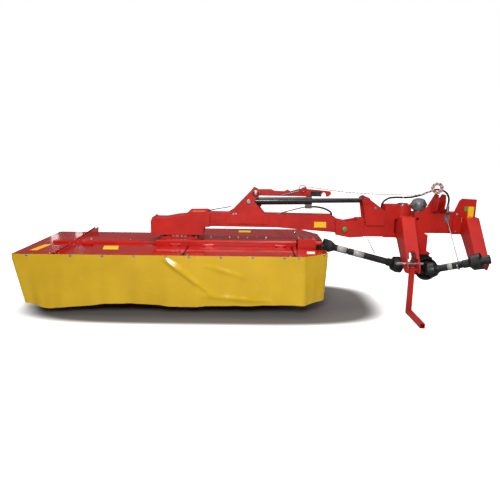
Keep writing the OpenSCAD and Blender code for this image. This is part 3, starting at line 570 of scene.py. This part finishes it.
# bolts and rivets: heads set on points, turned to face each point's own direction
def hardwareTree():
    tree = bpy.data.node_groups.new("hardwareHeads", "GeometryNodeTree")
    face = tree.interface
    face.new_socket(name="Points", in_out="INPUT", socket_type="NodeSocketGeometry")
    for label, kind, value in (
        ("Head width", "NodeSocketFloat", 0.019),
        ("Head height", "NodeSocketFloat", 0.008),
        ("Head taper", "NodeSocketFloat", 0.85),
        ("Head sides", "NodeSocketInt", 6),
        ("Washer width", "NodeSocketFloat", 0.028),
        ("Washer height", "NodeSocketFloat", 0.0025),
        ("Seed", "NodeSocketInt", 4),
    ):
        face.new_socket(name=label, in_out="INPUT", socket_type=kind).default_value = value
    face.new_socket(name="Finish", in_out="INPUT", socket_type="NodeSocketMaterial")
    face.new_socket(name="Heads", in_out="OUTPUT", socket_type="NodeSocketGeometry")
    given = add(tree, "NodeGroupInput").outputs
    headRadius = add(
        tree, "ShaderNodeMath", {"operation": "MULTIPLY", 1: 0.5}, {0: given["Head width"]}
    ).outputs[0]
    topRadius = add(
        tree, "ShaderNodeMath", {"operation": "MULTIPLY"}, {0: headRadius, 1: given["Head taper"]}
    ).outputs[0]
    washerRadius = add(
        tree, "ShaderNodeMath", {"operation": "MULTIPLY", 1: 0.5}, {0: given["Washer width"]}
    ).outputs[0]
    head = add(
        tree,
        "GeometryNodeMeshCone",
        None,
        {
            "Vertices": given["Head sides"],
            "Radius Bottom": headRadius,
            "Radius Top": topRadius,
            "Depth": given["Head height"],
        },
    )
    seat = add(tree, "ShaderNodeCombineXYZ", None, {"Z": given["Washer height"]})
    raised = add(
        tree,
        "GeometryNodeTransform",
        None,
        {"Geometry": head.outputs["Mesh"], "Translation": seat.outputs["Vector"]},
    )
    washer = add(
        tree,
        "GeometryNodeMeshCone",
        {"Vertices": 14},
        {"Radius Bottom": washerRadius, "Radius Top": washerRadius, "Depth": given["Washer height"]},
    )
    both = add(tree, "GeometryNodeJoinGeometry")
    tree.links.new(washer.outputs["Mesh"], both.inputs["Geometry"])
    tree.links.new(raised.outputs["Geometry"], both.inputs["Geometry"])
    facing = add(tree, "GeometryNodeInputNamedAttribute", {"data_type": "FLOAT_VECTOR", "Name": "facing"})
    aimed = add(
        tree, "FunctionNodeAlignRotationToVector", {"axis": "Z"}, {"Vector": facing.outputs["Attribute"]}
    )
    turn = add(tree, "FunctionNodeRandomValue", {"data_type": "FLOAT"}, {"Seed": given["Seed"]})
    turn.inputs[3].default_value = 6.28
    spin = add(tree, "FunctionNodeAxisAngleToRotation", {"Axis": (0, 0, 1)}, {"Angle": turn.outputs[1]})
    headTurn = add(
        tree,
        "FunctionNodeRotateRotation",
        {"rotation_space": "LOCAL"},
        {"Rotation": aimed.outputs["Rotation"], "Rotate By": spin.outputs["Rotation"]},
    )
    put = add(
        tree,
        "GeometryNodeInstanceOnPoints",
        None,
        {
            "Points": given["Points"],
            "Instance": both.outputs["Geometry"],
            "Rotation": headTurn.outputs["Rotation"],
        },
    )
    real = add(tree, "GeometryNodeRealizeInstances", None, {"Geometry": put.outputs["Instances"]})
    finish = add(
        tree,
        "GeometryNodeSetMaterial",
        None,
        {"Geometry": real.outputs["Geometry"], "Material": given["Finish"]},
    )
    add(tree, "NodeGroupOutput", None, {"Heads": finish.outputs["Geometry"]})
    return tree


# chain: round-wire links set on points, each turned a quarter against the last
def chainTree():
    tree = bpy.data.node_groups.new("chainLinks", "GeometryNodeTree")
    face = tree.interface
    face.new_socket(name="Points", in_out="INPUT", socket_type="NodeSocketGeometry")
    for label, value in (("Link length", 0.026), ("Link width", 0.014), ("Wire radius", 0.002)):
        face.new_socket(name=label, in_out="INPUT", socket_type="NodeSocketFloat").default_value = value
    face.new_socket(name="Finish", in_out="INPUT", socket_type="NodeSocketMaterial")
    face.new_socket(name="Links", in_out="OUTPUT", socket_type="NodeSocketGeometry")
    given = add(tree, "NodeGroupInput").outputs
    loop = add(
        tree,
        "GeometryNodeCurvePrimitiveQuadrilateral",
        {"mode": "RECTANGLE"},
        {"Width": given["Link length"], "Height": given["Link width"]},
    )
    corner = add(
        tree, "ShaderNodeMath", {"operation": "MULTIPLY", 1: 0.48}, {0: given["Link width"]}
    ).outputs[0]
    soft = add(
        tree,
        "GeometryNodeFilletCurve",
        {"mode": "POLY", "Count": 3},
        {"Curve": loop.outputs["Curve"], "Radius": corner},
    )
    section = add(
        tree, "GeometryNodeCurvePrimitiveCircle", {"Resolution": 6}, {"Radius": given["Wire radius"]}
    )
    link = add(
        tree,
        "GeometryNodeCurveToMesh",
        None,
        {"Curve": soft.outputs["Curve"], "Profile Curve": section.outputs["Curve"]},
    )
    along = add(tree, "GeometryNodeInputNamedAttribute", {"data_type": "FLOAT_VECTOR", "Name": "along"})
    across = add(tree, "GeometryNodeInputNamedAttribute", {"data_type": "FLOAT_VECTOR", "Name": "across"})
    first = add(
        tree, "FunctionNodeAlignRotationToVector", {"axis": "X"}, {"Vector": along.outputs["Attribute"]}
    )
    second = add(
        tree,
        "FunctionNodeAlignRotationToVector",
        {"axis": "Z", "pivot_axis": "X"},
        {"Rotation": first.outputs["Rotation"], "Vector": across.outputs["Attribute"]},
    )
    put = add(
        tree,
        "GeometryNodeInstanceOnPoints",
        None,
        {
            "Points": given["Points"],
            "Instance": link.outputs["Mesh"],
            "Rotation": second.outputs["Rotation"],
        },
    )
    real = add(tree, "GeometryNodeRealizeInstances", None, {"Geometry": put.outputs["Instances"]})
    finish = add(
        tree,
        "GeometryNodeSetMaterial",
        None,
        {"Geometry": real.outputs["Geometry"], "Material": given["Finish"]},
    )
    add(tree, "NodeGroupOutput", None, {"Links": finish.outputs["Geometry"]})
    return tree


def instanced(name, tree, spots, vectors, settings, body):
    mesh = bpy.data.meshes.new(name)
    mesh.from_pydata([tuple(place(*p)) for p in spots], [], [])
    for label, values in vectors.items():
        layer = mesh.attributes.new(label, "FLOAT_VECTOR", "POINT")
        for item, value in zip(layer.data, values):
            item.vector = value
    piece = bpy.data.objects.new(name, mesh)
    scene.collection.objects.link(piece)
    modifier = piece.modifiers.new("instances", "NODES")
    modifier.node_group = tree
    for socket in tree.interface.items_tree:
        if socket.in_out == "INPUT" and socket.name in settings:
            modifier[socket.identifier] = settings[socket.name]
    shape = bpy.data.meshes.new_from_object(piece.evaluated_get(bpy.context.evaluated_depsgraph_get()))
    piece.modifiers.remove(modifier)
    piece.data = shape
    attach(piece, body)
    return piece


heads = hardwareTree()
hexBolt = {"Head width": 0.020, "Head height": 0.009, "Finish": zincSteel}
smallBolt = {"Head width": 0.013, "Head height": 0.006, "Washer width": 0.020, "Finish": zincSteel}
rivet = {
    "Head width": 0.016,
    "Head height": 0.005,
    "Head taper": 0.55,
    "Head sides": 12,
    "Washer width": 0.026,
    "Washer height": 0.002,
    "Finish": zincSteel,
}
up, ahead, right = (0, 0, 1), (0, -1, 0), (1, 0, 0)

# heights and front faces that the details sit on, in mm
sheetTop, coverTop, boxTop = 605, 663, 700
armFront, bracketFront, plateFront = -75, -89, -82
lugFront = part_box("cylinder_lug")[0][1] * 1000 + deckMiddle[1]
lugStep = 12

rivetSet = {"spacing": 300, "height": 592, "standOff": 5.5}


def rivetLine(corners, first, spacing, z):
    spots, facing, left = [], [], first
    for (x0, y0, _), (x1, y1, _) in zip(corners, corners[1:]):
        span = math.hypot(x1 - x0, y1 - y0)
        ux, uy = (x1 - x0) / span, (y1 - y0) / span
        while left < span:
            off = rivetSet["standOff"]
            spots.append((x0 + ux * left + uy * off, y0 + uy * left - ux * off, z))
            facing.append((uy, -ux, 0))
            left += spacing
        left -= span
    return spots, facing


for body, corners, first in (
    ("deck", whole, 60),
    ("deck", rightRun, 36),
    ("left_flap", [(seams[0], -front, 0), (seams[1], -front, 0)], 160),
    ("right_flap", [(seams[1], -front, 0), (seams[2], -front, 0)], 60),
):
    spots, facing = rivetLine(corners, first, rivetSet["spacing"], rivetSet["height"])
    instanced(
        "rivets%s%d" % (body.title().replace("_", ""), len(spots)),
        heads,
        spots,
        {"facing": facing},
        rivet,
        body,
    )

boltSets = [
    # name, body, kind, facing, places
    (
        "coverBolts",
        "deck",
        smallBolt,
        up,
        [(325 + 98 * k, 4, coverTop) for k in range(7)] + [(-960 + 140 * k, 4, 629) for k in range(5)],
    ),
    ("bracketBolts", "deck", hexBolt, up, [(x, y, 677) for x in (-172, 172) for y in (-60, 60)]),
    (
        "recessBolts",
        "deck",
        hexBolt,
        ahead,
        [(-62, -92, 690), (62, -92, 690), (-24, -92, 690), (24, -92, 690)],
    ),
    ("boxTopBolts", "deck", hexBolt, up, [(x, y, boxTop) for x in (1250, 1392) for y in (-262, -178)]),
    (
        "boxFlangeBolts",
        "deck",
        smallBolt,
        right,
        [(1410, -220 + 52 * math.cos(a), 650 + 40 * math.sin(a)) for a in (0.6, 2.5, 3.8, 5.6)],
    ),
    (
        "seamBoltsLeft",
        "deck",
        smallBolt,
        up,
        [(seams[0] - 44, -626, sheetTop), (seams[2] + 40, -626, sheetTop)],
    ),
    (
        "seamBoltsLeftFlap",
        "left_flap",
        smallBolt,
        up,
        [(seams[0] + 44, -626, sheetTop), (seams[1] - 40, -626, sheetTop)],
    ),
    (
        "seamBoltsRightFlap",
        "right_flap",
        smallBolt,
        up,
        [(seams[1] + 40, -626, sheetTop), (seams[2] - 40, -626, sheetTop)],
    ),
    ("armPlateBolts", "arm", smallBolt, ahead, [(568, bracketFront, 925), (594, bracketFront, 927)]),
    ("lugBolts", "carrier", hexBolt, ahead, [(2041, lugFront + lugStep, 1003)]),
    ("gearboxBolts", "headstock", hexBolt, ahead, [(x, -300, z) for x in (2446, 2574) for z in (376, 506)]),
    (
        "plateBolts",
        "headstock",
        hexBolt,
        ahead,
        [(2900, plateFront, 760), (3050, plateFront, 760), (2900, plateFront, 950)],
    ),
]
for name, body, kind, facing, spots in boltSets:
    instanced(name, heads, spots, {"facing": [facing] * len(spots)}, kind, body)
print("bolts and rivets set")


# a block between two corners, in mm
def block(name, low, high, material, body):
    corners = [(x, y, z) for x in (low[0], high[0]) for y in (low[1], high[1]) for z in (low[2], high[2])]
    faces = [(0, 1, 3, 2), (4, 6, 7, 5), (0, 4, 5, 1), (2, 3, 7, 6), (0, 2, 6, 4), (1, 5, 7, 3)]
    piece = makePiece(name, [place(*c) for c in corners], faces, material)
    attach(piece, body)
    return piece


# a flat prism from an outline of points and a thickness vector, in mm
def prism(name, outline, thickness, material, body):
    n = len(outline)
    verts = [place(*p) for p in outline] + [place(*(Vector(p) + Vector(thickness))) for p in outline]
    faces = [tuple(range(n - 1, -1, -1)), tuple(range(n, 2 * n))]
    faces += [(i, (i + 1) % n, n + (i + 1) % n, n + i) for i in range(n)]
    piece = makePiece(name, verts, faces, material)
    mesh = bmesh.new()
    mesh.from_mesh(piece.data)
    bmesh.ops.recalc_face_normals(mesh, faces=mesh.faces)
    mesh.to_mesh(piece.data)
    mesh.free()
    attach(piece, body)
    return piece


# a shape turned about an axis from (height, radius) pairs in mm
def turned(name, profile, foot, axis, sides, material, body):
    axis = Vector(axis).normalized()
    side = axis.orthogonal().normalized()
    other = axis.cross(side)
    verts, faces = [], []
    for height, radius in profile:
        for k in range(sides):
            a = 2 * math.pi * k / sides
            verts.append(
                place(*(Vector(foot) + axis * height + (side * math.cos(a) + other * math.sin(a)) * radius))
            )
    for i in range(len(profile) - 1):
        for k in range(sides):
            n = (k + 1) % sides
            faces.append((i * sides + k, i * sides + n, (i + 1) * sides + n, (i + 1) * sides + k))
    faces.append(tuple(range(sides - 1, -1, -1)))
    faces.append(tuple((len(profile) - 1) * sides + k for k in range(sides)))
    piece = makePiece(name, verts, faces, material)
    piece.data.polygons.foreach_set("use_smooth", [True] * (len(faces) - 2) + [False, False])
    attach(piece, body)
    return piece


def wire(name, points, radius, material, body, sides=10):
    path = smoothPath([place(*p) for p in points], 8)
    piece, _ = sweep(name, path, radius / 1000, sides, material)
    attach(piece, body)
    return piece


# blank films where the photo has stickers, with outlines at the surface
filmThickness = 0.6
filmSets = [
    (
        "filmLeftEnd",
        "deck",
        yellowFilm,
        [
            (-1400, -500, sheetTop),
            (-1330, -500, sheetTop),
            (-1300, -215, sheetTop),
            (-1370, -215, sheetTop),
        ],
        up,
    ),
    (
        "filmLeftFlap",
        "left_flap",
        yellowFilm,
        [(-711, -423, sheetTop), (-560, -423, sheetTop), (-600, -250, sheetTop), (-750, -250, sheetTop)],
        up,
    ),
    (
        "filmCover",
        "deck",
        yellowFilm,
        [(612, 292, coverTop), (750, 292, coverTop), (750, 410, coverTop), (612, 410, coverTop)],
        up,
    ),
    (
        "filmRightEnd",
        "deck",
        whiteFilm,
        [(1295, -525, sheetTop), (1372, -525, sheetTop), (1385, -420, sheetTop), (1308, -420, sheetTop)],
        up,
    ),
    (
        "filmArm",
        "arm",
        yellowFilm,
        [(1414, armFront, 790), (1540, armFront, 790), (1540, armFront, 850), (1414, armFront, 850)],
        ahead,
    ),
    (
        "filmSidePlate",
        "headstock",
        yellowFilm,
        [
            (2950, plateFront, 862),
            (3070, plateFront, 862),
            (3070, plateFront, 1030),
            (3010, plateFront, 1030),
            (3010, plateFront, 918),
            (2950, plateFront, 918),
        ],
        ahead,
    ),
    (
        "filmSidePlateGreen",
        "headstock",
        greenPlastic,
        [
            (2972, plateFront, 985),
            (3006, plateFront, 985),
            (3006, plateFront, 1030),
            (2972, plateFront, 1030),
        ],
        ahead,
    ),
    (
        "filmHead",
        "arm",
        orangeFilm,
        [(150, -118, 949.2), (270, -118, 951.6), (262, -60, 951.6), (142, -60, 949)],
        up,
    ),
]
for name, body, film, outline, facing in filmSets:
    prism(name, outline, Vector(facing) * filmThickness, film, body)

# black triangles on the front edge at the cover seams: painted shade standing in for the dark gaps at the
# seams' cut corners
notchShadeSet = {"near": 7, "far": 28, "front": -645, "rear": -575, "height": 1}
seamBodies = ["deck", "left_flap", "right_flap", "deck"]
for index, x in enumerate(seams):
    for label, side, body in (("Left", -1, seamBodies[index]), ("Right", 1, seamBodies[index + 1])):
        near, far = x + side * notchShadeSet["near"], x + side * notchShadeSet["far"]
        corners = [(near, notchShadeSet["front"]), (far, notchShadeSet["front"]), (near, notchShadeSet["rear"])]
        outline = [(*corner, sheetTop) for corner in corners]
        prism("seamNotchShade%s%d" % (label, index), outline, (0, 0, notchShadeSet["height"]), blackPlastic, body)

# two folded edges across the raised cover
coverFold = {"front": (1096, 6), "rear": (1040, 534), "width": 9, "apart": 36, "height": 3.5}
for index in range(2):
    shift = coverFold["apart"] * index
    (x0, y0), (x1, y1) = coverFold["front"], coverFold["rear"]
    foldEdge = [(x0, y0), (x0 + coverFold["width"], y0), (x1 + coverFold["width"], y1), (x1, y1)]
    prism(
        "coverFold%d" % index,
        [(x + shift, y, coverTop) for x, y in foldEdge],
        (0, 0, coverFold["height"]),
        deckPaint,
        "deck",
    )

# pale blank bands on the shaft guards, from the joint that each guard starts at
bandSet = {"inner": 34.1, "outer": 34.7, "sides": 32}
shaftFoot, shaftAim = Vector((2300, -220, 430)), Vector((-850, 0, 220)).normalized()
ptoFoot = Vector((2520, -430, 430))
ptoAim = (Vector((2930, -690, 600)) - ptoFoot).normalized()
for name, start, length, foot, aim, body in (
    ("bandTube", 400, 110, shaftFoot, shaftAim, "drive_tube"),
    ("bandRod", 590, 95, shaftFoot, shaftAim, "drive_rod"),
    ("bandPto", 190, 45, ptoFoot, ptoAim, "headstock"),
):
    inner, outer, end = bandSet["inner"], bandSet["outer"], start + length
    profile = [(start, inner), (start, outer), (end, outer), (end, inner)]
    turned(name, profile, foot, aim, bandSet["sides"], greyFilm, body)

# caps on the pins, thin door plates on the arm, lock ring, rods and bars round the hook
doorThickness = (0, -2, 0)
turned(
    "liftPinCap", [(0, 26), (5, 26), (8, 22), (9, 8)], (1730, -109.5, 781), ahead, 24, greenPlastic, "arm"
)
turned("barrelPinCap", [(0, 24), (5, 24), (8, 19)], (724, -99.2, 1055), ahead, 24, zincSteel, "arm")
turned(
    "hookPinCap",
    [(0, 34), (4, 34), (5, 15), (11, 15), (13, 10)],
    (795, -90.5, 1140),
    ahead,
    24,
    zincSteel,
    "lock_hook",
)
armDoor = [(374, 812), (468, 812), (468, 884), (374, 885)]
prism("armDoor", [(x, armFront, z) for x, z in armDoor], doorThickness, redPaint, "arm")
bracketDoor = [(537, 824), (709, 824), (709, 861), (650, 872), (537, 872)]
prism("bracketDoor", [(x, bracketFront, z) for x, z in bracketDoor], doorThickness, redPaint, "arm")
# the ring is open by one step of its points
ringMiddle, ringRadius, ringSteps = Vector((1290, 34, 1186)), 36, 18
ringAngles = [math.radians(-110 + 360 / ringSteps * k) for k in range(ringSteps)]
ringPoints = [ringMiddle + Vector((math.cos(a), 0, math.sin(a))) * ringRadius for a in ringAngles]
wire("lockRing", ringPoints, 4.5, redPaint, "lock_hook")
wire(
    "lockSpringRod",
    [(1066, 31, 1112), (1130, 31, 1128), (1210, 31, 1148), (1262, 31, 1160)],
    6.5,
    dullZinc,
    "lock_hook",
)
block("lockSleeve", (1376, 34, 1108), (1488, 37.7, 1158), blackPlastic, "lock_hook")
wire(
    "armGuideRod", [(300, -70, 948), (330, -78, 962), (440, -84, 984), (545, -86, 1003)], 6, dullZinc, "arm"
)

# port block under the barrel's end with a steel pipe and a short hose to the arm
block("portBlock", (1318, -56, 986), (1384, -4, 1030), wornSteel, "cylinder_barrel")
pipePoints = [(1330, -58, 1002), (1290, -60, 998), (1150, -62, 962), (1060, -62, 938), (1030, -62, 931)]
portPipe = smoothPath([place(*p) for p in pipePoints], 8)
pipePiece, _ = sweep("portPipe", portPipe, 0.007, 10, dullZinc)
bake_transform(pipePiece)
hosePiece, portHose, hoseLength = layCord("portHose", routes["port"], hose, hoseRubber)
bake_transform(hosePiece)

# small fittings on the deck's bevel box
block("boxCapBlock", (1288, -250, boxTop), (1326, -206, 722), greyCast, "deck")
wire(
    "boxLever",
    [(1262, -220, 699), (1248, -220, 722), (1214, -220, 752), (1204, -220, 762)],
    5,
    dullZinc,
    "deck",
)
turned(
    "boxLeverBall",
    [(-11, 3), (-8, 8), (0, 11.5), (8, 8), (11, 3)],
    (1202, -220, 765),
    (-0.5, 0, 0.86),
    16,
    chromeSteel,
    "deck",
)

# chain that keeps the guard tube from turning
chainSet = {"from": (1977, -84, 694), "to": (2040, -200, 536), "pitch": 20}
chainStart, chainEnd = Vector(chainSet["from"]), Vector(chainSet["to"])
chainCount = int((chainEnd - chainStart).length / chainSet["pitch"])
chainAim = (chainEnd - chainStart).normalized()
chainSide = chainAim.cross(Vector(up)).normalized()
chainSides = [chainSide, chainAim.cross(chainSide).normalized()]
chainSpots = [tuple(chainStart + chainAim * chainSet["pitch"] * (k + 0.6)) for k in range(chainCount)]
chainTurns = {"along": [chainAim] * chainCount, "across": [chainSides[k % 2] for k in range(chainCount)]}
chainPiece = instanced("guardChain", chainTree(), chainSpots, chainTurns, {"Finish": wornSteel}, "carrier")
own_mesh(chainPiece)

# dark edge of the side plate
block("sidePlateEdge", (3086, -83.5, 740), (3090, -70, 1104), blackPlastic, "headstock")
print("fittings and films set")


# a white floor, three soft lights and two far lamps behind that the deck mirrors; sizes in m
floorSet = {
    "half": 30,
    "roughness": 0.9,
    "white": "fbfaf8",
    "mirrored": "8c8a86",
    "fade": (2.6, 5.0),
    "glow": (0.5, 1.0),
}
floorPaint = bpy.data.materials.new("paleFloor")
floorPaint.use_nodes = True
floorTree = floorPaint.node_tree
floorShader = floorTree.nodes["Principled BSDF"]
floorShader.inputs["Roughness"].default_value = floorSet["roughness"]
floorShader.inputs["Emission Color"].default_value = (1, 1, 1, 1)
# the camera sees a white floor with a grey patch under the deck, partly the concrete's own grey and partly
# a painted shadow of the deck, with no glow in it; the paint mirrors a grey one
shadowPatchSet = {
    "middle": (-0.5, 0.0, 0.0),
    "reach": (2.0, 0.78, 1.0),
    "solid": 0.65,
    "gone": 0.95,
    "colour": "66625f",
}
floorSeen = add(floorTree, "ShaderNodeLightPath").outputs["Is Camera Ray"]
floorSpot = add(floorTree, "ShaderNodeTexCoord").outputs["Object"]
patchSpot = add(
    floorTree, "ShaderNodeVectorMath", {"operation": "SUBTRACT", 1: shadowPatchSet["middle"]}, {0: floorSpot}
)
patchShare = add(
    floorTree,
    "ShaderNodeVectorMath",
    {"operation": "DIVIDE", 1: shadowPatchSet["reach"]},
    {0: patchSpot.outputs[0]},
).outputs[0]
patchSquare = add(
    floorTree, "ShaderNodeVectorMath", {"operation": "MULTIPLY"}, {0: patchShare, 1: patchShare}
)
patchReach = add(floorTree, "ShaderNodeVectorMath", {"operation": "LENGTH"}, {0: patchSquare.outputs[0]})
# 0 inside the painted shadow patch, 1 on the white floor around it
bare = add(
    floorTree,
    "ShaderNodeMapRange",
    {"interpolation_type": "SMOOTHSTEP", "From Min": shadowPatchSet["solid"], "From Max": shadowPatchSet["gone"]},
    {"Value": patchReach.outputs["Value"]},
)
shadowedFloorTone = add(
    floorTree,
    "ShaderNodeValToRGB",
    None,
    {"Fac": bare.outputs["Result"]},
    [(0.0, linear(shadowPatchSet["colour"])), (1.0, linear(floorSet["white"]))],
)
floorBase = add(
    floorTree,
    "ShaderNodeMix",
    {"data_type": "RGBA", 6: linear(floorSet["mirrored"])},
    {0: floorSeen, 7: shadowedFloorTone.outputs["Color"]},
)
floorTree.links.new(floorBase.outputs[2], floorShader.inputs["Base Color"])
floorReach = add(floorTree, "ShaderNodeVectorMath", {"operation": "LENGTH"}, {0: floorSpot})
floorFade = add(
    floorTree,
    "ShaderNodeMapRange",
    {
        "From Min": floorSet["fade"][0],
        "From Max": floorSet["fade"][1],
        "To Min": floorSet["glow"][0],
        "To Max": floorSet["glow"][1],
    },
    {"Value": floorReach.outputs["Value"]},
)
floorLit = add(
    floorTree,
    "ShaderNodeMath",
    {"operation": "MULTIPLY"},
    {0: bare.outputs["Result"], 1: floorFade.outputs["Result"]},
)
floorGlow = add(
    floorTree, "ShaderNodeMath", {"operation": "MULTIPLY"}, {0: floorSeen, 1: floorLit.outputs[0]}
)
floorTree.links.new(floorGlow.outputs[0], floorShader.inputs["Emission Strength"])
reach = floorSet["half"]
floorCorners = [(-reach, -reach, 0), (reach, -reach, 0), (reach, reach, 0), (-reach, reach, 0)]
floorPiece = makePiece("studioFloor", floorCorners, [(0, 1, 2, 3)], floorPaint)

# name, place, aim, size and power of each lamp
lightSet = [
    ("keySoft", (-0.3, -5.0, 3.2), (0, 0, 0.5), 1.6, 260),
    ("fillSoft", (3.6, -2.6, 3.6), (0.8, 0, 0.7), 2.6, 20),
    ("topSoft", (0.2, 1.2, 5.2), (0, 0, 0.4), 4.5, 230),
    ("lampFirst", (-4.8, 6.6, 1.83), (-2.14, 0.36, 0.6), 0.16, 0.24),
    ("lampSecond", (-4.33, 6.95, 1.83), (-2.0, 0.5, 0.6), 0.16, 0.24),
]
for name, spot, aim, size, power in lightSet:
    data = bpy.data.lights.new(name, "AREA")
    data.energy = power
    data.size = size
    lamp = bpy.data.objects.new(name, data)
    scene.collection.objects.link(lamp)
    lamp.location = spot
    lamp.rotation_euler = (Vector(aim) - Vector(spot)).to_track_quat("-Z", "Y").to_euler()

# the camera sees white, gloss mirrors a dim hall
skySet = {"lit": 0.34, "mirrored": 0.1, "seen": 1.0}
white = (1, 1, 1, 1)
sky = bpy.data.worlds.new("studioSky")
scene.world = sky
sky.use_nodes = True
skyTree = sky.node_tree
lit = skyTree.nodes["Background"]
lit.inputs["Color"].default_value = white
lit.inputs["Strength"].default_value = skySet["lit"]
mirrored = add(skyTree, "ShaderNodeBackground", {"Color": white, "Strength": skySet["mirrored"]})
seen = add(skyTree, "ShaderNodeBackground", {"Color": white, "Strength": skySet["seen"]})
rays = add(skyTree, "ShaderNodeLightPath").outputs
hallMix = add(
    skyTree,
    "ShaderNodeMixShader",
    None,
    {0: rays["Is Glossy Ray"], 1: lit.outputs[0], 2: mirrored.outputs[0]},
)
skyMix = add(
    skyTree,
    "ShaderNodeMixShader",
    None,
    {0: rays["Is Camera Ray"], 1: hallMix.outputs[0], 2: seen.outputs[0]},
)
skyTree.links.new(skyMix.outputs[0], skyTree.nodes["World Output"].inputs["Surface"])
scene.view_settings.view_transform = "Standard"
print("floor and light set")
